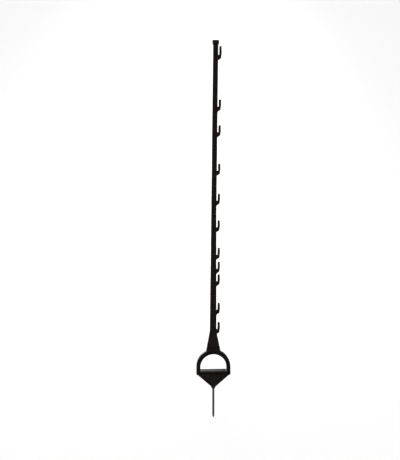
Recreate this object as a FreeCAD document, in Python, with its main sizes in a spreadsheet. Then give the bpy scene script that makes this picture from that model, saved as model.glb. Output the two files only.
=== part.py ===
import FreeCAD, Part
import math
import os
from types import SimpleNamespace

import Sketcher

# Step-in fence post with a stirrup foot, in millimetres.
# The spike's axis is Z, the ground side is down, and the origin is where the spike leaves the moulding.
# X runs across the stirrup, with the wire hooks on the +X side, and Y is the depth of the mould halves.
# The mould parts at the plane Y = 0, so every form is the same on both sides of it.

SIZES = {
    # ground spike
    "spike_diameter": 9.0,
    "spike_exposed_length": 121.0,
    "spike_point_length": 9.0,
    "spike_tip_diameter": 2.0,
    "spike_grip_diameter": 9.6,
    "spike_grip_length": 60.0,
    # socket around the spike's grip
    "socket_mouth_diameter": 15.2,
    "socket_body_diameter": 19.0,
    "socket_cone_height": 11.0,
    # stirrup ring
    "foot_width": 140.6,
    "foot_depth": 22.0,
    "bar_end_height": 56.0,
    "bar_end_radius": 4.0,
    "shoulder_height": 90.0,
    "opening_width": 108.4,
    "opening_arch_height": 87.4,
    "opening_corner_radius": 5.0,
    "ring_rim": 3.6,
    "ring_web": 5.0,
    "ring_recess_corner_radius": 2.0,
    "ring_rib_thickness": 2.2,
    "ring_edge_chamfer": 1.0,
    # tread
    "tread_height": 74.0,
    "tread_thickness": 6.5,
    "tread_depth": 42.0,
    "tread_corner_radius": 3.0,
    "tread_ridge_width": 2.2,
    "tread_ridge_height": 1.2,
    "tread_ridge_pitch": 8.0,
    "gusset_thickness": 2.6,
    "gusset_pitch": 22.0,
    "gusset_foot_height": 44.0,
    # anchor blade
    "blade_width": 130.4,
    "blade_depth": 14.0,
    "blade_web": 4.0,
    "blade_rim": 5.2,
    "blade_tip_height": 7.6,
    "blade_tip_width": 17.0,
    # neck between ring and shaft
    "neck_foot_height": 150.0,
    "neck_foot_width": 61.4,
    "neck_recess_height": 164.0,
    "neck_recess_corner_radius": 2.8,
    # shaft of double-T section
    "shaft_base_height": 236.0,
    "shaft_middle_height": 724.0,
    "shaft_top_height": 1424.0,
    "shaft_base_width": 26.8,
    "shaft_middle_width": 21.4,
    "shaft_top_width": 20.8,
    "shaft_base_depth": 18.0,
    "shaft_middle_depth": 16.0,
    "shaft_top_depth": 14.0,
    "hook_side_offset": 12.4,
    "shaft_lean": 8.0,
    "flange_thickness": 3.2,
    "web_thickness": 3.0,
    "root_flare": 1.2,
    "flange_edge_radius": 0.7,
    "cross_rib_thickness": 2.0,
    "cross_rib_depth": 12.0,
    # head
    "head_width": 27.0,
    "head_depth": 18.0,
    "head_height": 15.0,
    "head_corner_radius": 3.0,
    "head_edge_radius": 1.8,
    # hooks
    "hook_depth": 11.0,
    "hook_slot_width": 4.8,
    "hook_finger_thickness": 10.2,
    "hook_finger_tip_thickness": 9.0,
    "hook_finger_height": 29.5,
    "top_hook_finger_height": 37.0,
    "hook_finger_lean": 0.5,
    "hook_belly_height": 8.0,
    "hook_heel_height": 12.0,
    "hook_heel_reach": 12.4,
    "hook_root_drop": 21.8,
    "hook_root_rise": 6.0,
    "hook_heel_radius": 3.5,
    "hook_belly_radius": 8.0,
    "hook_tip_radius": 3.0,
    # height of each hook's seat, where the wire lies, from the ground up
    "hook_1_height": 243.5,
    "hook_2_height": 323.5,
    "hook_3_height": 441.5,
    "hook_4_height": 493.5,
    "hook_5_height": 551.5,
    "hook_6_height": 665.0,
    "hook_7_height": 775.0,
    "hook_8_height": 899.0,
    "hook_9_height": 1058.0,
    "hook_10_height": 1164.0,
    "hook_11_height": 1378.0,
}
HOOKS = 11
GUSSETS = 5
TREAD_RIDGES = 5
RING_RIBS = 5
RING_RIB_SWEEP = 180.0
LONGEST_PLAIN_PANEL = 90.0


class Length:
    """A length: its value in millimetres, and the sheet formula that gives it."""

    def __init__(self, value, formula):
        self.value = value
        self.formula = formula

    def __add__(self, other):
        other = as_length(other)
        return Length(self.value + other.value, f"({self.formula} + {other.formula})")

    def __sub__(self, other):
        other = as_length(other)
        return Length(self.value - other.value, f"({self.formula} - {other.formula})")

    def __mul__(self, other):
        other = as_length(other)
        return Length(self.value * other.value, f"({self.formula} * {other.formula})")

    def __truediv__(self, other):
        other = as_length(other)
        return Length(self.value / other.value, f"({self.formula} / {other.formula})")

    def __neg__(self):
        return Length(-self.value, f"(0 - {self.formula})")

    def if_positive(self):
        return Length(max(0.0, self.value), f"max(0; {self.formula})")


def as_length(item):
    """A plain number as a Length, and a Length as it is."""
    return item if isinstance(item, Length) else Length(float(item), str(item))


ZERO = Length(0.0, "0")


def make_sheet(doc):
    """The spreadsheet of driving dimensions, and a Length for each of its cells."""
    sheet = doc.addObject("Spreadsheet::Sheet", "Sizes")
    for row, (alias, number) in enumerate(SIZES.items(), start=1):
        sheet.set(f"A{row}", alias.replace("_", " "))
        sheet.set(f"B{row}", str(number))
        sheet.setAlias(f"B{row}", alias)
    doc.recompute()
    return SimpleNamespace(**{alias: Length(float(sheet.get(alias)), f"Sizes.{alias}") for alias in SIZES})


def origin_plane(body, role):
    """One of a body's own origin planes or axes."""
    return next(item for item in body.Origin.OriginFeatures if item.Role == role)


def new_sketch(body, name, role, right=ZERO, up=ZERO, out=ZERO):
    """An empty sketch on an origin plane, moved within the plane (right, up) and off it (out)."""
    sketch = body.newObject("Sketcher::SketchObject", name)
    sketch.AttachmentSupport = [(origin_plane(body, role), "")]
    sketch.MapMode = "FlatFace"
    sketch.setExpression("AttachmentOffset.Base.x", right.formula)
    sketch.setExpression("AttachmentOffset.Base.y", up.formula)
    sketch.setExpression("AttachmentOffset.Base.z", out.formula)
    return sketch


def bind(sketch, kind, *references, length):
    """Add a dimension to a sketch and tie it to the sheet."""
    index = sketch.addConstraint(Sketcher.Constraint(kind, *references, length.value))
    sketch.setExpression(f"Constraints[{index}]", length.formula)


def place_point(sketch, geometry, point, x, y):
    """Fix a point of a sketch at x, y from its origin."""
    bind(sketch, "DistanceX", -1, 1, geometry, point, length=x)
    bind(sketch, "DistanceY", -1, 1, geometry, point, length=y)


def add_loop(sketch, corners):
    """Draw a closed loop of straight edges, counter-clockwise. A corner (x, y, radius) is rounded."""
    points = [FreeCAD.Vector(c[0].value, c[1].value, 0) for c in corners]
    radii = [c[2] if len(c) > 2 else None for c in corners]
    count = len(corners)
    starts, ends, arcs = [], [], {}
    for i in range(count):
        back = (points[i - 1] - points[i]).normalize()
        ahead = (points[(i + 1) % count] - points[i]).normalize()
        if radii[i] is None:
            starts.append(points[i])
            ends.append(points[i])
            continue
        half_angle = back.getAngle(ahead) / 2
        radius = radii[i].value
        starts.append(points[i] + ahead * (radius / math.tan(half_angle)))
        ends.append(points[i] + back * (radius / math.tan(half_angle)))
        centre = points[i] + (back + ahead).normalize() * (radius / math.sin(half_angle))
        turns_left = back.cross(ahead).z < 0
        first, last = (ends[i], starts[i]) if turns_left else (starts[i], ends[i])
        angles = [math.atan2(p.y - centre.y, p.x - centre.x) for p in (first, last)]
        circle = Part.Circle(centre, FreeCAD.Vector(0, 0, 1), radius)
        arcs[i] = (Part.ArcOfCircle(circle, angles[0], angles[1]), 1 if turns_left else 2)
    lines = [
        sketch.addGeometry(Part.LineSegment(starts[i], ends[(i + 1) % count])) for i in range(count)
    ]
    for i in range(count):
        before, after = lines[i - 1], lines[i]
        if i not in arcs:
            sketch.addConstraint(Sketcher.Constraint("Coincident", before, 2, after, 1))
            place_point(sketch, after, 1, corners[i][0], corners[i][1])
            continue
        shape, entry = arcs[i]
        arc = sketch.addGeometry(shape)
        corner = sketch.addGeometry(Part.Point(points[i]), True)
        sketch.addConstraint(Sketcher.Constraint("PointOnObject", corner, 1, before))
        sketch.addConstraint(Sketcher.Constraint("PointOnObject", corner, 1, after))
        sketch.addConstraint(Sketcher.Constraint("Tangent", before, 2, arc, entry))
        sketch.addConstraint(Sketcher.Constraint("Tangent", arc, 3 - entry, after, 1))
        bind(sketch, "Radius", arc, length=radii[i])
        place_point(sketch, corner, 1, corners[i][0], corners[i][1])


def add_arch(sketch, half_width, spring_height, foot_height, foot_radius):
    """Draw a closed D: a half circle on two upright sides, with rounded feet."""
    centre = FreeCAD.Vector(0, spring_height.value, 0)
    circle = Part.Circle(centre, FreeCAD.Vector(0, 0, 1), half_width.value)
    arch = sketch.addGeometry(Part.ArcOfCircle(circle, 0, math.pi))
    w, r = half_width.value, foot_radius.value
    top, foot = spring_height.value, foot_height.value
    left = sketch.addGeometry(Part.LineSegment(FreeCAD.Vector(-w, top, 0), FreeCAD.Vector(-w, foot + r, 0)))
    base = sketch.addGeometry(Part.LineSegment(FreeCAD.Vector(r - w, foot, 0), FreeCAD.Vector(w - r, foot, 0)))
    right = sketch.addGeometry(Part.LineSegment(FreeCAD.Vector(w, foot + r, 0), FreeCAD.Vector(w, top, 0)))
    left_centre = Part.Circle(FreeCAD.Vector(r - w, foot + r, 0), FreeCAD.Vector(0, 0, 1), r)
    right_centre = Part.Circle(FreeCAD.Vector(w - r, foot + r, 0), FreeCAD.Vector(0, 0, 1), r)
    left_foot = sketch.addGeometry(Part.ArcOfCircle(left_centre, math.pi, 1.5 * math.pi))
    right_foot = sketch.addGeometry(Part.ArcOfCircle(right_centre, 1.5 * math.pi, 2 * math.pi))
    for first, end, second, start in (
        (arch, 2, left, 1),
        (left, 2, left_foot, 1),
        (left_foot, 2, base, 1),
        (base, 2, right_foot, 1),
        (right_foot, 2, right, 1),
    ):
        sketch.addConstraint(Sketcher.Constraint("Tangent", first, end, second, start))
    sketch.addConstraint(Sketcher.Constraint("Coincident", right, 2, arch, 1))
    sketch.addConstraint(Sketcher.Constraint("Vertical", left))
    sketch.addConstraint(Sketcher.Constraint("Vertical", right))
    sketch.addConstraint(Sketcher.Constraint("PointOnObject", arch, 3, -2))
    sketch.addConstraint(Sketcher.Constraint("Equal", left_foot, right_foot))
    bind(sketch, "Radius", arch, length=half_width)
    bind(sketch, "Radius", left_foot, length=foot_radius)
    bind(sketch, "DistanceY", -1, 1, arch, 3, length=spring_height)
    bind(sketch, "DistanceY", -1, 1, base, 1, length=foot_height)


def add_pad(body, sketch, name, length, symmetric=True):
    """Pad a sketch, by default half to each side of its plane."""
    feature = body.newObject("PartDesign::Pad", name)
    feature.Profile = sketch
    feature.SideType = "Symmetric" if symmetric else "One side"
    feature.setExpression("Length", length.formula)
    return finish(body, feature)


def add_pocket(body, sketch, name, depth, reverse=False):
    """Pocket a sketch into the solid."""
    feature = body.newObject("PartDesign::Pocket", name)
    feature.Profile = sketch
    feature.Reversed = reverse
    feature.setExpression("Length", depth.formula)
    return finish(body, feature)


def finish(body, feature):
    """Make a feature the body's tip and bring the body up to date. Coplanar faces are merged once, at the end."""
    feature.Refine = False
    body.Tip = feature
    body.Document.recompute()
    return feature


def mirror_front_to_back(body, feature, name):
    """Repeat a feature on the other side of the mould's parting plane."""
    mirrored = body.newObject("PartDesign::Mirrored", name)
    mirrored.Originals = [feature]
    mirrored.MirrorPlane = (origin_plane(body, "XZ_Plane"), [""])
    return finish(body, mirrored)


def recess_both_faces(body, name, full_depth, web, draw):
    """Cut the outline that draw makes into both faces, so that a web of the given thickness is left."""
    sketch = new_sketch(body, name + "_outline", "XZ_Plane", out=full_depth / 2)
    draw(sketch)
    pocket = add_pocket(body, sketch, name, (full_depth - web) / 2)
    return mirror_front_to_back(body, pocket, name + "_back")


# Shaft lines


def hook_side_at(size, height):
    """X of the shaft's hook side at a height: upright up to the middle, leaning towards the hooks above."""
    above = (height - size.shaft_middle_height).if_positive()
    return size.hook_side_offset + above * size.shaft_lean / (size.shaft_top_height - size.shaft_middle_height)


def shaft_width_at(size, height):
    """Width of the shaft at a height, which tapers in two straight stretches."""
    below = (size.shaft_middle_height - height).if_positive()
    above = (height - size.shaft_middle_height).if_positive()
    lower = size.shaft_middle_height - size.shaft_base_height
    upper = size.shaft_top_height - size.shaft_middle_height
    gain = below * (size.shaft_base_width - size.shaft_middle_width) / lower
    loss = above * (size.shaft_middle_width - size.shaft_top_width) / upper
    return size.shaft_middle_width + gain - loss


def hook_heights(size):
    """Heights of the hook seats, from the ground up."""
    return [getattr(size, f"hook_{number}_height") for number in range(1, HOOKS + 1)]


# Features of the moulding


def add_ring(body, size):
    """The stirrup: a D-shaped frame with a recess in each face that leaves rims and a web."""
    sketch = new_sketch(body, "ring_outline", "XZ_Plane")
    add_arch(sketch, size.foot_width / 2, size.shoulder_height, size.bar_end_height, size.bar_end_radius)
    add_arch(
        sketch, size.opening_width / 2, size.opening_arch_height, size.tread_height, size.opening_corner_radius
    )
    ring = add_pad(body, sketch, "ring", size.foot_depth)
    edges = [
        f"Edge{number}"
        for number, edge in enumerate(ring.Shape.Edges, start=1)
        if edge.BoundBox.YLength < size.ring_edge_chamfer.value
    ]
    bevelled = body.newObject("PartDesign::Chamfer", "ring_edges")
    bevelled.Base = (ring, edges)
    bevelled.setExpression("Size", size.ring_edge_chamfer.formula)
    finish(body, bevelled)


def draw_ring_recess(sketch, size):
    """The channel between the ring's outer and inner rims, which runs on under the tread."""
    rim = size.ring_rim
    corner = size.ring_recess_corner_radius
    outer_foot = size.bar_end_height + rim
    inner_foot = size.tread_height - size.tread_thickness
    add_arch(sketch, size.foot_width / 2 - rim, size.shoulder_height, outer_foot, corner)
    add_arch(sketch, size.opening_width / 2 + rim, size.opening_arch_height, inner_foot, corner)


def add_ring_ribs(body, size):
    """Short radial ribs across the ring's channel, spread round the arch."""
    inner = size.opening_width / 2 + size.ring_rim / 2
    outer = size.foot_width / 2 - size.ring_rim / 2
    half = size.ring_rib_thickness / 2
    sketch = new_sketch(body, "ring_rib_outline", "XZ_Plane", up=size.shoulder_height)
    add_loop(sketch, [(inner, -half), (outer, -half), (outer, half), (inner, half)])
    rib = add_pad(body, sketch, "ring_rib", size.foot_depth - size.ring_rim)
    ribs = body.newObject("PartDesign::PolarPattern", "ring_ribs")
    ribs.Originals = [rib]
    ribs.Axis = (sketch, ["N_Axis"])
    ribs.Angle = RING_RIB_SWEEP
    ribs.Occurrences = RING_RIBS
    finish(body, ribs)


def add_neck(body, size):
    """The flared neck, whose flanges carry those of the shaft down to the ring."""
    half_foot = size.neck_foot_width / 2
    half_top = size.shaft_base_width / 2
    centre = size.hook_side_offset - half_top
    sketch = new_sketch(body, "neck_outline", "XZ_Plane")
    add_loop(
        sketch,
        [
            (-half_foot, size.neck_foot_height),
            (half_foot, size.neck_foot_height),
            (centre + half_top, size.shaft_base_height),
            (centre - half_top, size.shaft_base_height),
        ],
    )
    add_pad(body, sketch, "neck", size.shaft_base_depth)


def draw_neck_recess(sketch, size):
    """The tapering panel between the neck's flanges."""
    half_foot = size.neck_foot_width / 2
    half_top = size.shaft_base_width / 2
    centre = size.hook_side_offset - half_top
    rise = size.shaft_base_height - size.neck_foot_height
    share = (size.shaft_base_height - size.neck_recess_height) / rise
    half_recess = half_top + (half_foot - half_top) * share - size.flange_thickness
    corner = size.neck_recess_corner_radius
    add_loop(
        sketch,
        [
            (-half_recess, size.neck_recess_height, corner),
            (half_recess, size.neck_recess_height, corner),
            (centre + half_top - size.flange_thickness, size.shaft_base_height),
            (centre - half_top + size.flange_thickness, size.shaft_base_height),
        ],
    )


def shaft_section(body, size, name, height, width, depth):
    """One double-T section of the shaft, with flared roots, and its hook side on the hook-side line."""
    face = hook_side_at(size, height)
    centre = face - width / 2
    half_width, half_depth = width / 2, depth / 2
    half_web = size.web_thickness / 2
    inside = half_width - size.flange_thickness
    edge, flare = size.flange_edge_radius, size.root_flare
    sketch = new_sketch(body, name, "XY_Plane", right=centre, out=height)
    add_loop(
        sketch,
        [
            (-half_width, -half_depth, edge),
            (-inside, -half_depth, edge),
            (-inside, -half_web - flare),
            (flare - inside, -half_web),
            (inside - flare, -half_web),
            (inside, -half_web - flare),
            (inside, -half_depth, edge),
            (half_width, -half_depth, edge),
            (half_width, half_depth, edge),
            (inside, half_depth, edge),
            (inside, half_web + flare),
            (inside - flare, half_web),
            (flare - inside, half_web),
            (-inside, half_web + flare),
            (-inside, half_depth, edge),
            (-half_width, half_depth, edge),
        ],
    )
    return sketch


def add_shaft(body, size):
    """The shaft: a double-T section that tapers upwards in two straight stretches."""
    base = shaft_section(
        body, size, "shaft_base", size.shaft_base_height, size.shaft_base_width, size.shaft_base_depth
    )
    middle = shaft_section(
        body, size, "shaft_middle", size.shaft_middle_height, size.shaft_middle_width, size.shaft_middle_depth
    )
    top = shaft_section(body, size, "shaft_top", size.shaft_top_height, size.shaft_top_width, size.shaft_top_depth)
    shaft = body.newObject("PartDesign::AdditiveLoft", "shaft")
    shaft.Profile = base
    shaft.Sections = [middle, top]
    shaft.Ruled = True
    finish(body, shaft)


def rib_heights(size):
    """A cross rib at each hook's seat, and evenly between seats that lie far apart."""
    seats = hook_heights(size)
    heights = []
    for low, high in zip(seats, seats[1:]):
        panels = math.ceil((high.value - low.value) / LONGEST_PLAIN_PANEL)
        step = (high - low) / panels
        heights += [low + step * number for number in range(panels)]
    return heights + [seats[-1]]


def add_cross_ribs(body, size):
    """Thin cross ribs between the shaft's flanges."""
    sketch = new_sketch(body, "cross_rib_outlines", "XZ_Plane")
    half = size.cross_rib_thickness / 2
    for height in rib_heights(size):
        right = hook_side_at(size, height) - size.flange_thickness / 2
        left = hook_side_at(size, height) - shaft_width_at(size, height) + size.flange_thickness / 2
        add_loop(
            sketch, [(left, height - half), (right, height - half), (right, height + half), (left, height + half)]
        )
    add_pad(body, sketch, "cross_ribs", size.cross_rib_depth)


def add_head(body, size):
    """The rounded block at the top of the shaft, which takes the push of a hand or mallet."""
    centre = hook_side_at(size, size.shaft_top_height) - size.shaft_top_width / 2
    half_width, half_depth = size.head_width / 2, size.head_depth / 2
    corner = size.head_corner_radius
    sketch = new_sketch(body, "head_outline", "XY_Plane", right=centre, out=size.shaft_top_height)
    add_loop(
        sketch,
        [
            (-half_width, -half_depth, corner),
            (half_width, -half_depth, corner),
            (half_width, half_depth, corner),
            (-half_width, half_depth, corner),
        ],
    )
    head = add_pad(body, sketch, "head", size.head_height, symmetric=False)
    top = head.Shape.BoundBox.ZMax
    edges = [
        f"Edge{number}"
        for number, edge in enumerate(head.Shape.Edges, start=1)
        if edge.BoundBox.ZMin > top - size.head_edge_radius.value
    ]
    rounded = body.newObject("PartDesign::Fillet", "head_edges")
    rounded.Base = (head, edges)
    rounded.setExpression("Radius", size.head_edge_radius.formula)
    finish(body, rounded)


def hook_outline(size, seat, finger_height):
    """The outline of one J-shaped hook, open at the top, whose seat lies at the given height."""
    face = hook_side_at(size, seat)
    slot = face + size.hook_slot_width
    seat_radius = size.hook_slot_width / 2
    inside = face - size.flange_thickness / 2
    tip_in = slot + size.hook_finger_lean
    tip = seat + finger_height
    return [
        (inside, seat - size.hook_root_drop),
        (face + size.hook_heel_reach, seat - size.hook_heel_height, size.hook_heel_radius),
        (slot + size.hook_finger_thickness, seat + size.hook_belly_height, size.hook_belly_radius),
        (tip_in + size.hook_finger_tip_thickness, tip, size.hook_tip_radius),
        (tip_in, tip, size.hook_tip_radius),
        (slot, seat, seat_radius),
        (face, seat, seat_radius),
        (face, seat + size.hook_root_rise),
        (inside, seat + size.hook_root_rise),
    ]


def add_hooks(body, size):
    """The hooks up the +X side; the top one has a longer finger."""
    for number, seat in enumerate(hook_heights(size), start=1):
        finger = size.top_hook_finger_height if number == HOOKS else size.hook_finger_height
        sketch = new_sketch(body, f"hook_{number}_outline", "XZ_Plane")
        add_loop(sketch, hook_outline(size, seat, finger))
        add_pad(body, sketch, f"hook_{number}", size.hook_depth)


def blade_half_width_at(size, height):
    """Half width of the blade's sloping sides at a height."""
    half_top, half_tip = size.blade_width / 2, size.blade_tip_width / 2
    rise = size.bar_end_height - size.blade_tip_height
    return half_tip + (height - size.blade_tip_height) * (half_top - half_tip) / rise


def add_blade(body, size):
    """The triangular blade that stops the post from turning in the ground."""
    top = size.bar_end_height + size.ring_rim
    half_top = blade_half_width_at(size, size.bar_end_height)
    half_tip = size.blade_tip_width / 2
    sketch = new_sketch(body, "blade_outline", "XZ_Plane")
    add_loop(
        sketch,
        [
            (-half_tip, size.blade_tip_height),
            (half_tip, size.blade_tip_height),
            (half_top, size.bar_end_height),
            (half_top, top),
            (-half_top, top),
            (-half_top, size.bar_end_height),
        ],
    )
    add_pad(body, sketch, "blade", size.blade_depth)


def draw_blade_recesses(sketch, size):
    """The two triangular panels beside the spike's socket."""
    top = size.bar_end_height - size.ring_rim / 2
    side = size.socket_body_diameter / 2
    outer = blade_half_width_at(size, top) - size.blade_rim
    slope = (size.blade_width - size.blade_tip_width) / 2 / (size.bar_end_height - size.blade_tip_height)
    foot = top - (outer - side) / slope
    add_loop(sketch, [(side, foot), (outer, top), (side, top)])
    add_loop(sketch, [(-side, foot), (-side, top), (-outer, top)])


def add_tread(body, size):
    """The tread plate, wider front to back than the ring, with ridges against slipping."""
    half_width, half_depth = size.opening_width / 2, size.tread_depth / 2
    corner = size.tread_corner_radius
    base = size.tread_height - size.tread_thickness
    sketch = new_sketch(body, "tread_outline", "XY_Plane", out=base)
    add_loop(
        sketch,
        [
            (-half_width, -half_depth, corner),
            (half_width, -half_depth, corner),
            (half_width, half_depth, corner),
            (-half_width, half_depth, corner),
        ],
    )
    add_pad(body, sketch, "tread", size.tread_thickness, symmetric=False)
    half_ridge = size.tread_ridge_width / 2
    ridges = new_sketch(body, "tread_ridge_outlines", "XY_Plane", out=size.tread_height)
    end = half_width - corner
    for number in range(TREAD_RIDGES):
        middle = size.tread_ridge_pitch * (number - (TREAD_RIDGES - 1) / 2)
        low, high = middle - half_ridge, middle + half_ridge
        add_loop(ridges, [(-end, low), (end, low), (end, high), (-end, high)])
    add_pad(body, ridges, "tread_ridges", size.tread_ridge_height, symmetric=False)


def add_gussets(body, size):
    """Upright gussets, evenly spaced, that carry the tread's overhang down to the blade."""
    top = size.tread_height - size.tread_thickness / 2
    half_top = size.tread_depth / 2 - size.ring_rim
    half_foot = size.blade_depth / 2
    reach = size.gusset_pitch * (GUSSETS - 1)
    sketch = new_sketch(body, "gusset_outline", "YZ_Plane", out=-reach / 2)
    add_loop(
        sketch,
        [
            (-half_foot, size.gusset_foot_height),
            (half_foot, size.gusset_foot_height),
            (half_top, top),
            (-half_top, top),
        ],
    )
    gusset = add_pad(body, sketch, "gusset", size.gusset_thickness)
    gussets = body.newObject("PartDesign::LinearPattern", "gussets")
    gussets.Originals = [gusset]
    gussets.Direction = (sketch, ["N_Axis"])
    gussets.setExpression("Length", reach.formula)
    gussets.Occurrences = GUSSETS
    finish(body, gussets)


def add_revolved(body, name, corners):
    """A solid of revolution about Z from the outline's corners (radius, height)."""
    sketch = new_sketch(body, name + "_outline", "XZ_Plane")
    add_loop(sketch, corners)
    feature = body.newObject("PartDesign::Revolution", name)
    feature.Profile = sketch
    feature.ReferenceAxis = (origin_plane(body, "Z_Axis"), [""])
    feature.Angle = 360
    return finish(body, feature)


def add_socket(body, size):
    """The round boss that holds the spike, and its blind bore."""
    top = size.spike_grip_length + size.web_thickness
    mouth, boss = size.socket_mouth_diameter / 2, size.socket_body_diameter / 2
    add_revolved(
        body,
        "socket",
        [(ZERO, ZERO), (mouth, ZERO), (boss, size.socket_cone_height), (boss, top), (ZERO, top)],
    )
    sketch = new_sketch(body, "socket_bore_outline", "XY_Plane")
    grip = size.spike_grip_diameter / 2
    circle = Part.Circle(FreeCAD.Vector(0, 0, 0), FreeCAD.Vector(0, 0, 1), grip.value)
    bore = sketch.addGeometry(circle)
    sketch.addConstraint(Sketcher.Constraint("Coincident", bore, 3, -1, 1))
    bind(sketch, "Radius", bore, length=grip)
    before = body.Shape.Volume
    add_pocket(body, sketch, "socket_bore", size.spike_grip_length, reverse=True)
    if body.Shape.Volume >= before:
        raise RuntimeError("the socket's bore cuts nothing")


def new_body(doc, name):
    """An empty body with a name for its label."""
    body = doc.addObject("PartDesign::Body", name)
    body.Label = name
    return body


def make_foot(doc, size):
    """The foot of the moulding: stirrup, neck, blade, tread and socket."""
    body = new_body(doc, "foot_form")
    add_ring(body, size)
    add_neck(body, size)
    recess_both_faces(
        body, "neck_recess", size.shaft_base_depth, size.web_thickness, lambda s: draw_neck_recess(s, size)
    )
    recess_both_faces(body, "ring_recess", size.foot_depth, size.ring_web, lambda s: draw_ring_recess(s, size))
    add_ring_ribs(body, size)
    add_blade(body, size)
    recess_both_faces(body, "blade_recess", size.blade_depth, size.blade_web, lambda s: draw_blade_recesses(s, size))
    add_tread(body, size)
    add_gussets(body, size)
    add_socket(body, size)
    return body


def make_moulding(doc, size):
    """The whole one-piece moulding: the shaft with its hooks and head, fused with the foot."""
    foot = make_foot(doc, size)
    body = new_body(doc, "post_moulding")
    add_shaft(body, size)
    add_hooks(body, size)
    add_head(body, size)
    add_cross_ribs(body, size)
    whole = body.newObject("PartDesign::Boolean", "shaft_and_foot")
    whole.Type = "Fuse"
    whole.setObjects([foot])
    finish(body, whole)
    whole.Refine = True
    doc.recompute()
    return body


def make_spike(doc, size):
    """The steel ground spike: a bar with a rolled grip in the socket and a point in the ground."""
    body = new_body(doc, "ground_spike")
    bar, grip = size.spike_diameter / 2, size.spike_grip_diameter / 2
    tip = size.spike_tip_diameter / 2
    end = -size.spike_exposed_length
    add_revolved(
        body,
        "bar",
        [
            (ZERO, end),
            (tip, end),
            (bar, end + size.spike_point_length),
            (bar, ZERO),
            (grip, ZERO),
            (grip, size.spike_grip_length),
            (ZERO, size.spike_grip_length),
        ],
    )
    return body


def check(doc, bodies):
    """Stop if an object failed or a sub-part is not one valid solid."""
    for item in doc.Objects:
        if "Invalid" in item.State or "Error" in item.State:
            raise RuntimeError(f"{item.Name} failed: {item.State}")
    for body in bodies:
        shape = body.Shape
        if shape.isNull() or not shape.isValid() or len(shape.Solids) != 1:
            raise RuntimeError(f"{body.Label} is not one valid solid")


def main():
    doc = FreeCAD.newDocument("StepInFencePost")
    size = make_sheet(doc)
    bodies = [make_moulding(doc, size), make_spike(doc, size)]
    doc.recompute()
    check(doc, bodies)
    os.makedirs("parts", exist_ok=True)
    for body in bodies:
        body.Shape.exportStep(f"parts/{body.Label}.step")
        box = body.Shape.BoundBox
        print(f"{body.Label}: volume {body.Shape.Volume / 1000:.1f} cm3, z {box.ZMin:.1f} to {box.ZMax:.1f}")


main()
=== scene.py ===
import math

import bmesh
import bpy
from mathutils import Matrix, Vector


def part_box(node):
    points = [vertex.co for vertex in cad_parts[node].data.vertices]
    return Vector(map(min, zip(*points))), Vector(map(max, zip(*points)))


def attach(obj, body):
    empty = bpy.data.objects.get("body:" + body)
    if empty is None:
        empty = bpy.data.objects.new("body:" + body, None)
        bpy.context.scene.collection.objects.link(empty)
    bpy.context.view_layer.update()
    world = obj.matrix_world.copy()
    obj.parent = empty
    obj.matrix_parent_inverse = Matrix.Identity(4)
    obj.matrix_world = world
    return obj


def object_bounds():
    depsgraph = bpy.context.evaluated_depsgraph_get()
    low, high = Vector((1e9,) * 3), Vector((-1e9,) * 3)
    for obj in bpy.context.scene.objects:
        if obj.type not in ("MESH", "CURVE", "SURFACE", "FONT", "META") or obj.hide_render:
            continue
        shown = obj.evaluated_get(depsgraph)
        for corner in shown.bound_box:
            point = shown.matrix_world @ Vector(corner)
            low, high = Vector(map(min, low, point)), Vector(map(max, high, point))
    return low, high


bl_info = {
    "name": "Step-in Fence Post",
    "version": (1, 0, 0),
    "blender": (4, 5, 0),
    "location": "3D View > Sidebar > Fence Post",
    "description": "Finishes a moulded step-in fence post and sets it on a pale studio stage",
    "category": "Object",
}

# Lengths are in metres. +Z is up the post, +X is the side with the hooks, and the camera looks along +Y.
# Z = 0 is where the steel spike leaves the moulding.

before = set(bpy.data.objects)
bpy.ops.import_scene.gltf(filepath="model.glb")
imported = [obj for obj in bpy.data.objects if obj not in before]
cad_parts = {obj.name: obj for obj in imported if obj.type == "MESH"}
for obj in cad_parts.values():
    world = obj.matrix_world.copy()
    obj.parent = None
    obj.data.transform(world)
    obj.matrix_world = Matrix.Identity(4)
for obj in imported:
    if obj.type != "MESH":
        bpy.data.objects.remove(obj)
cad_low, cad_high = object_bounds()

MM = 0.001
# Points nearer to each other than this are one point.
WELD = 0.01 * MM
# Sockets by which the Mix node takes and gives colours.
MIX_FACTOR, MIX_FIRST, MIX_SECOND, MIXED = 0, 6, 7, 2
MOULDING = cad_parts["post_moulding"]
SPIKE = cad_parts["ground_spike"]
SPIKE_LOW, SPIKE_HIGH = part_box("ground_spike")

# Colour and nodes


def linear(hex_colour):
    """An sRGB hex colour as linear red, green, blue and alpha."""
    channels = [int(hex_colour[i : i + 2], 16) / 255 for i in (1, 3, 5)]
    return [c / 12.92 if c <= 0.04045 else ((c + 0.055) / 1.055) ** 2.4 for c in channels] + [1.0]


def add_node(tree, kind, inputs=None, **settings):
    """Add a node. Settings are its properties. Inputs, by name or number, are values or outputs to link."""
    node = tree.nodes.new(kind)
    for name, value in settings.items():
        setattr(node, name, value)
    for name, value in (inputs or {}).items():
        if isinstance(value, bpy.types.NodeSocket):
            tree.links.new(value, node.inputs[name])
        else:
            node.inputs[name].default_value = value
    return node


def new_material(name):
    """An empty node material with its output node."""
    material = bpy.data.materials.new(name)
    material.use_nodes = True
    tree = material.node_tree
    tree.nodes.clear()
    return material, tree, tree.nodes.new("ShaderNodeOutputMaterial")


def stretched(tree, x, y, z):
    """Object coordinates, counted in cells of the given sizes in millimetres."""
    place = add_node(tree, "ShaderNodeTexCoord").outputs["Object"]
    cells = (1 / (x * MM), 1 / (y * MM), 1 / (z * MM))
    return add_node(tree, "ShaderNodeMapping", {"Vector": place, "Scale": cells}).outputs["Vector"]


# Materials


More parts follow.
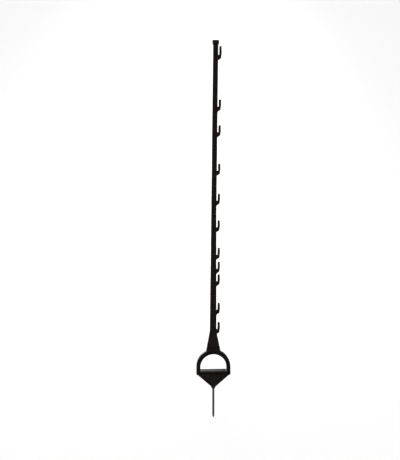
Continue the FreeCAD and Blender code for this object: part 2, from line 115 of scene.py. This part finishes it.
def moulded_polypropylene(look):
    """Black polypropylene, injection moulded: near black, satin from the eroded grain of the tool."""
    material, tree, output = new_material("moulded_black_polypropylene")

    # Cloudy patches, 14 mm wide and drawn out along the flow, are a shade lighter than the rest.
    flow = add_node(
        tree, "ShaderNodeTexNoise", {"Vector": stretched(tree, 14, 14, 60), "Scale": 1.0, "Detail": 3.0}
    )
    cloudy = add_node(
        tree, "ShaderNodeMapRange", {"Value": flow.outputs["Fac"], "From Min": 0.35, "From Max": 0.75}
    )
    body = add_node(
        tree,
        "ShaderNodeMix",
        {
            MIX_FACTOR: cloudy.outputs["Result"],
            MIX_FIRST: linear(look.plastic),
            MIX_SECOND: linear(look.plastic_bloom),
        },
        data_type="RGBA",
    )

    # Handling leaves fine pale rubs that run mostly up and down.
    rubs = add_node(
        tree, "ShaderNodeTexNoise", {"Vector": stretched(tree, 2.2, 2.2, 38), "Scale": 1.0, "Detail": 5.0}
    )
    rubbed = add_node(
        tree,
        "ShaderNodeMapRange",
        {"Value": rubs.outputs["Fac"], "From Min": 0.64, "From Max": 0.78, "To Max": 0.35},
    )
    colour = add_node(
        tree,
        "ShaderNodeMix",
        {
            MIX_FACTOR: rubbed.outputs["Result"],
            MIX_FIRST: body.outputs[MIXED],
            MIX_SECOND: linear(look.plastic_rub),
        },
        data_type="RGBA",
    )

    # The tool's grain is about 0.3 mm. It is drawn 1 mm wide, because finer grain doesn't show.
    grain = add_node(
        tree, "ShaderNodeTexNoise", {"Vector": stretched(tree, 1.0, 1.0, 1.0), "Scale": 1.0, "Detail": 2.0}
    )
    rough = add_node(
        tree,
        "ShaderNodeMapRange",
        {
            "Value": grain.outputs["Fac"],
            "From Min": 0.3,
            "From Max": 0.7,
            "To Min": look.plastic_roughness - 0.05,
            "To Max": look.plastic_roughness + 0.07,
        },
    )

    # Walls shrink unevenly as they cool, which leaves shallow sinks some 2 cm across.
    sinks = add_node(
        tree, "ShaderNodeTexNoise", {"Vector": stretched(tree, 18, 18, 26), "Scale": 1.0, "Detail": 1.0}
    )
    low = add_node(
        tree, "ShaderNodeBump", {"Height": sinks.outputs["Fac"], "Strength": 0.25, "Distance": 0.5 * MM}
    )
    fine = add_node(
        tree,
        "ShaderNodeBump",
        {
            "Height": grain.outputs["Fac"],
            "Strength": 0.2,
            "Distance": 0.06 * MM,
            "Normal": low.outputs["Normal"],
        },
    )
    shader = add_node(
        tree,
        "ShaderNodeBsdfPrincipled",
        {
            "Base Color": colour.outputs[MIXED],
            "Roughness": rough.outputs["Result"],
            "IOR": 1.49,
            "Specular IOR Level": look.plastic_gloss,
            "Normal": fine.outputs["Normal"],
        },
    )
    tree.links.new(shader.outputs["BSDF"], output.inputs["Surface"])
    return material


def galvanised_steel(look):
    """Mild steel bar, drawn and hot-dip galvanised: a dull grey in faint patches, with fine streaks."""
    material, tree, output = new_material("galvanised_drawn_steel")

    # Zinc crystals, 4 mm wide and 6 mm long, differ a little in brightness.
    crystals = add_node(tree, "ShaderNodeTexVoronoi", {"Vector": stretched(tree, 4, 4, 6), "Scale": 1.0})
    tone = add_node(tree, "ShaderNodeRGBToBW", {"Color": crystals.outputs["Color"]})
    bright = add_node(
        tree, "ShaderNodeMapRange", {"Value": tone.outputs["Val"], "From Min": 0.1, "From Max": 0.9}
    )
    colour = add_node(
        tree,
        "ShaderNodeMix",
        {
            MIX_FACTOR: bright.outputs["Result"],
            MIX_FIRST: linear(look.zinc_dark),
            MIX_SECOND: linear(look.zinc_light),
        },
        data_type="RGBA",
    )

    # Die lines run the length of the bar.
    lines = add_node(
        tree, "ShaderNodeTexNoise", {"Vector": stretched(tree, 0.7, 0.7, 45), "Scale": 1.0, "Detail": 3.0}
    )
    rough = add_node(
        tree,
        "ShaderNodeMapRange",
        {
            "Value": lines.outputs["Fac"],
            "From Min": 0.3,
            "From Max": 0.7,
            "To Min": look.zinc_roughness - 0.07,
            "To Max": look.zinc_roughness + 0.09,
        },
    )
    bump = add_node(
        tree, "ShaderNodeBump", {"Height": lines.outputs["Fac"], "Strength": 0.4, "Distance": 0.06 * MM}
    )
    shader = add_node(
        tree,
        "ShaderNodeBsdfPrincipled",
        {
            "Base Color": colour.outputs[MIXED],
            "Metallic": 1.0,
            "Roughness": rough.outputs["Result"],
            "Normal": bump.outputs["Normal"],
        },
    )
    tree.links.new(shader.outputs["BSDF"], output.inputs["Surface"])
    return material


def seen_or_mirrored(tree):
    """1 for what is seen straight, in a gloss or through something, and 0 for light that falls on things."""
    rays = add_node(tree, "ShaderNodeLightPath").outputs
    seen = rays["Is Camera Ray"]
    for name in ("Is Glossy Ray", "Is Transmission Ray"):
        either = add_node(tree, "ShaderNodeMath", {0: seen, 1: rays[name]}, operation="MAXIMUM")
        seen = either.outputs["Value"]
    return seen


def studio_paper(look):
    """White background paper: matt, and bright enough to look white while a faint shadow still shows."""
    material, tree, output = new_material("white_background_paper")
    matt = add_node(tree, "ShaderNodeBsdfDiffuse", {"Color": linear(look.paper)})
    glow = add_node(tree, "ShaderNodeEmission", {"Color": linear("#ffffff"), "Strength": 1.0})
    seen = seen_or_mirrored(tree)
    share = add_node(tree, "ShaderNodeMapRange", {"Value": seen, "To Max": look.paper_glow})
    parts = {"Fac": share.outputs["Result"], 1: matt.outputs["BSDF"], 2: glow.outputs["Emission"]}
    mixed = add_node(tree, "ShaderNodeMixShader", parts)
    tree.links.new(mixed.outputs["Shader"], output.inputs["Surface"])
    return material


# Mesh helpers


def new_object(name, mesh, material):
    """Link a mesh into the scene as a piece with one material."""
    mesh.materials.append(material)
    piece = bpy.data.objects.new(name, mesh)
    bpy.context.scene.collection.objects.link(piece)
    return piece


def parting_edges():
    """The moulding's outline where the two mould halves meet, as pairs of points in the plane Y = 0."""
    cut = bmesh.new()
    cut.from_mesh(MOULDING.data)
    bmesh.ops.remove_doubles(cut, verts=cut.verts, dist=WELD)
    plane = bmesh.ops.bisect_plane(
        cut, geom=cut.verts[:] + cut.edges[:] + cut.faces[:], plane_co=(0, 0, 0), plane_no=(0, 1, 0)
    )
    edges = [item for item in plane["geom_cut"] if isinstance(item, bmesh.types.BMEdge)]
    pairs = [(edge.verts[0].co.copy(), edge.verts[1].co.copy()) for edge in edges]
    cut.free()
    return pairs


def outside_bore(point):
    """True for a point that isn't on the wall of the hidden bore around the spike's grip."""
    margin = 0.2 * MM
    in_bore = abs(point.x) < SPIKE_HIGH.x + margin and -margin < point.z < SPIKE_HIGH.z + margin
    return not in_bore


def inside_box(point):
    """A point pulled in to the part's box, so the bead fades out on the ring's sides and the head's top."""
    inset = 0.02 * MM
    sides = zip(point, cad_low, cad_high)
    return Vector([max(low + inset, min(high - inset, value)) for value, low, high in sides])


# Settings


class FencePostLook(bpy.types.PropertyGroup):
    """Colours and finishes of the post and the paper"""

    plastic: bpy.props.StringProperty(
        name="Plastic", description="sRGB colour of the black polypropylene", default="#160e0a"
    )
    plastic_bloom: bpy.props.StringProperty(
        name="Plastic bloom", description="sRGB colour of its lighter, cloudy patches", default="#1e1410"
    )
    plastic_rub: bpy.props.StringProperty(
        name="Plastic rub", description="sRGB colour of the pale marks of handling", default="#352b27"
    )
    plastic_roughness: bpy.props.FloatProperty(
        name="Plastic roughness", description="Roughness of the tool's satin grain",
        default=0.33, min=0.1, max=1.0, subtype="FACTOR",
    )
    plastic_gloss: bpy.props.FloatProperty(
        name="Plastic gloss",
        description="Specular level, under the usual 0.5 because a gloss mirrors the white room all round",
        default=0.1, min=0.0, max=1.0, subtype="FACTOR",
    )
    zinc_light: bpy.props.StringProperty(
        name="Zinc, light", description="sRGB colour of the brighter zinc crystals", default="#4c4a48"
    )
    zinc_dark: bpy.props.StringProperty(
        name="Zinc, dark", description="sRGB colour of the duller zinc crystals", default="#3d3b39"
    )
    zinc_roughness: bpy.props.FloatProperty(
        name="Zinc roughness", description="Roughness of the zinc coat",
        default=0.42, min=0.1, max=1.0, subtype="FACTOR",
    )
    seam_radius: bpy.props.FloatProperty(
        name="Seam radius", description="Radius of the bead that the mould's parting line leaves",
        default=0.18 * MM, min=0.05 * MM, max=0.5 * MM, subtype="DISTANCE", unit="LENGTH",
    )
    paper: bpy.props.StringProperty(
        name="Paper", description="sRGB colour of the background paper", default="#f4f4f2"
    )
    paper_glow: bpy.props.FloatProperty(
        name="Paper glow", description="Share of pure white in the paper as the camera and glosses see it",
        default=0.9, min=0.0, max=1.0, subtype="FACTOR",
    )


class FencePostView(bpy.types.PropertyGroup):
    """Where the camera stands and how much it takes in"""

    distance: bpy.props.FloatProperty(
        name="Camera distance", description="From the camera to the post",
        default=2.3, min=1.0, max=10.0, subtype="DISTANCE", unit="LENGTH",
    )
    azimuth: bpy.props.FloatProperty(
        name="Azimuth", description="Turn of the camera round the post, from straight ahead",
        default=math.radians(-3), subtype="ANGLE", unit="ROTATION",
    )
    height: bpy.props.FloatProperty(
        name="Camera height", description="Height of the level camera above the moulding's foot",
        default=0.6541, subtype="DISTANCE", unit="LENGTH",
    )
    offset: bpy.props.FloatProperty(
        name="Camera offset", description="How far right of the spike the camera aims, negative to the left",
        default=-0.0551, subtype="DISTANCE", unit="LENGTH",
    )
    field_height: bpy.props.FloatProperty(
        name="Field height", description="Height of what the picture takes in at the post",
        default=1.9044, subtype="DISTANCE", unit="LENGTH",
    )


# Operators


class FENCEPOST_OT_finish_moulding(bpy.types.Operator):
    """Give the moulding its black polypropylene"""

    bl_idname = "fencepost.finish_moulding"
    bl_label = "Finish Moulding"

    def execute(self, context):
        MOULDING.material_slots[0].material = moulded_polypropylene(context.scene.fence_post_look)
        return {"FINISHED"}


class FENCEPOST_OT_finish_spike(bpy.types.Operator):
    """Give the ground spike its galvanised steel"""

    bl_idname = "fencepost.finish_spike"
    bl_label = "Finish Spike"

    def execute(self, context):
        SPIKE.material_slots[0].material = galvanised_steel(context.scene.fence_post_look)
        return {"FINISHED"}


class FENCEPOST_OT_parting_line(bpy.types.Operator):
    """Lay the thin bead that the mould's two halves leave round the moulding"""

    bl_idname = "fencepost.parting_line"
    bl_label = "Parting Line"

    def execute(self, context):
        radius = context.scene.fence_post_look.seam_radius
        bead = bmesh.new()
        for start, end in parting_edges():
            if not (outside_bore(start) and outside_bore(end)) or (end - start).length < WELD:
                continue
            across = (end - start).normalized().cross(Vector((0, 1, 0))) * radius
            depth = Vector((0, radius, 0))
            sides = (across, depth, -across, -depth)
            rings = [[bead.verts.new(inside_box(p + side)) for side in sides] for p in (start, end)]
            for i in range(len(sides)):
                j = (i + 1) % len(sides)
                bead.faces.new((rings[0][i], rings[0][j], rings[1][j], rings[1][i]))
        if not bead.faces:
            raise RuntimeError("the parting plane doesn't cut the moulding")
        mesh = bpy.data.meshes.new("parting_line")
        bead.to_mesh(mesh)
        bead.free()
        piece = new_object("parting_line", mesh, MOULDING.material_slots[0].material)
        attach(piece, "root")
        return {"FINISHED"}


class FENCEPOST_OT_stage(bpy.types.Operator):
    """Set up the pale paper, the soft lights, the white room and the camera"""

    bl_idname = "fencepost.stage"
    bl_label = "Stage"

    def execute(self, context):
        look, shot = context.scene.fence_post_look, context.scene.fence_post_view
        self.lay_paper(studio_paper(look))
        self.hang_lights()
        self.light_world(context.scene)
        self.place_camera(context.scene, shot)
        context.scene.view_settings.view_transform = "Standard"
        return {"FINISHED"}

    def lay_paper(self, paper):
        """A floor under the spike's point and a wall well behind the post, joined by a wide curve."""
        clearance = 0.5 * MM
        floor = SPIKE_LOW.z - clearance
        front, back, top, half_width, sweep = -6.0, 2.5, 5.0, 6.0, 1.2
        steps = 16
        profile = [(front, floor)]
        for step in range(steps + 1):
            angle = math.pi / 2 * step / steps
            profile.append((back - sweep + sweep * math.sin(angle), floor + sweep - sweep * math.cos(angle)))
        profile.append((back, top))
        mesh = bpy.data.meshes.new("background_paper")
        verts = [(side * half_width, y, z) for y, z in profile for side in (-1, 1)]
        faces = [(2 * i, 2 * i + 1, 2 * i + 3, 2 * i + 2) for i in range(len(profile) - 1)]
        mesh.from_pydata(verts, [], faces)
        mesh.polygons.foreach_set("use_smooth", [True] * len(mesh.polygons))
        new_object("background_paper", mesh, paper)

    def hang_lights(self):
        """Hang five soft boxes that the camera doesn't see, so that none shows against the paper."""
        # The key is on the left, a weaker fill on the right and a box overhead. The low one behind lights
        # the tread's top, and the last the paper. Sizes are in metres, powers in watts, spreads in degrees.
        for name, place, target, size, power, spread in (
            ("key_soft_box", (-2.4, -0.9, 2.3), (0, 0, 0.8), 1.4, 26.0, 180),
            ("fill_soft_box", (2.6, -0.8, 1.3), (0, 0, 0.6), 1.4, 10.0, 180),
            ("top_soft_box", (-0.3, 0.5, 3.2), (0, 0, 0.6), 1.8, 55.0, 180),
            ("rear_soft_box", (-0.3, 1.9, 0.75), (0, 0, 0.1), 1.0, 12.0, 180),
            ("paper_soft_box", (0.0, 1.0, 2.9), (0, 2.45, 0.5), 1.6, 100.0, 80),
        ):
            lamp = bpy.data.lights.new(name, "AREA")
            lamp.shape = "SQUARE"
            lamp.size = size
            lamp.energy = power
            lamp.spread = math.radians(spread)
            box = bpy.data.objects.new(name, lamp)
            box.visible_camera = False
            box.location = place
            box.rotation_mode = "QUATERNION"
            box.rotation_quaternion = (Vector(target) - Vector(place)).to_track_quat("-Z", "Y")
            bpy.context.scene.collection.objects.link(box)

    def light_world(self, scene):
        """A room that throws little light on the post and looks as white as the paper, also in glosses."""
        world = bpy.data.worlds.new("studio_room")
        world.use_nodes = True
        tree = world.node_tree
        tree.nodes.clear()
        light, white = 0.12, 0.95
        share = {"Value": seen_or_mirrored(tree), "To Min": light, "To Max": white}
        strength = add_node(tree, "ShaderNodeMapRange", share).outputs["Result"]
        room = add_node(tree, "ShaderNodeBackground", {"Color": linear("#ffffff"), "Strength": strength})
        output = tree.nodes.new("ShaderNodeOutputWorld")
        tree.links.new(room.outputs["Background"], output.inputs["Surface"])
        scene.world = world

    def place_camera(self, scene, shot):
        """A level camera in front of the post, moved round it a little to the left."""
        data = bpy.data.cameras.new("camera")
        # The picture is taller than wide, so the sensor's width spans its height.
        data.sensor_width = 36.0
        data.lens = data.sensor_width * shot.distance / shot.field_height
        camera = bpy.data.objects.new("camera", data)
        ahead = Vector((-math.sin(shot.azimuth), math.cos(shot.azimuth), 0))
        right = Vector((ahead.y, -ahead.x, 0))
        camera.location = right * shot.offset - ahead * shot.distance + Vector((0, 0, shot.height))
        camera.rotation_mode = "QUATERNION"
        camera.rotation_quaternion = ahead.to_track_quat("-Z", "Y")
        scene.collection.objects.link(camera)
        scene.camera = camera


class FENCEPOST_PT_sidebar(bpy.types.Panel):
    """Steps and settings of the fence post"""

    bl_idname = "FENCEPOST_PT_sidebar"
    bl_label = "Fence Post"
    bl_space_type = "VIEW_3D"
    bl_region_type = "UI"
    bl_category = "Fence Post"

    def draw(self, context):
        for step in STEPS:
            self.layout.operator(step.bl_idname)
        for settings in (context.scene.fence_post_look, context.scene.fence_post_view):
            box = self.layout.box()
            for name in settings.__annotations__:
                box.prop(settings, name)


STEPS = (
    FENCEPOST_OT_finish_moulding,
    FENCEPOST_OT_finish_spike,
    FENCEPOST_OT_parting_line,
    FENCEPOST_OT_stage,
)
CLASSES = (FencePostLook, FencePostView, *STEPS, FENCEPOST_PT_sidebar)


def register():
    for item in CLASSES:
        bpy.utils.register_class(item)
    bpy.types.Scene.fence_post_look = bpy.props.PointerProperty(type=FencePostLook)
    bpy.types.Scene.fence_post_view = bpy.props.PointerProperty(type=FencePostView)


def unregister():
    del bpy.types.Scene.fence_post_view
    del bpy.types.Scene.fence_post_look
    for item in reversed(CLASSES):
        bpy.utils.unregister_class(item)


def main():
    register()
    bpy.ops.fencepost.finish_moulding()
    bpy.ops.fencepost.finish_spike()
    bpy.ops.fencepost.parting_line()
    bpy.ops.fencepost.stage()


if __name__ == "__main__":
    main()
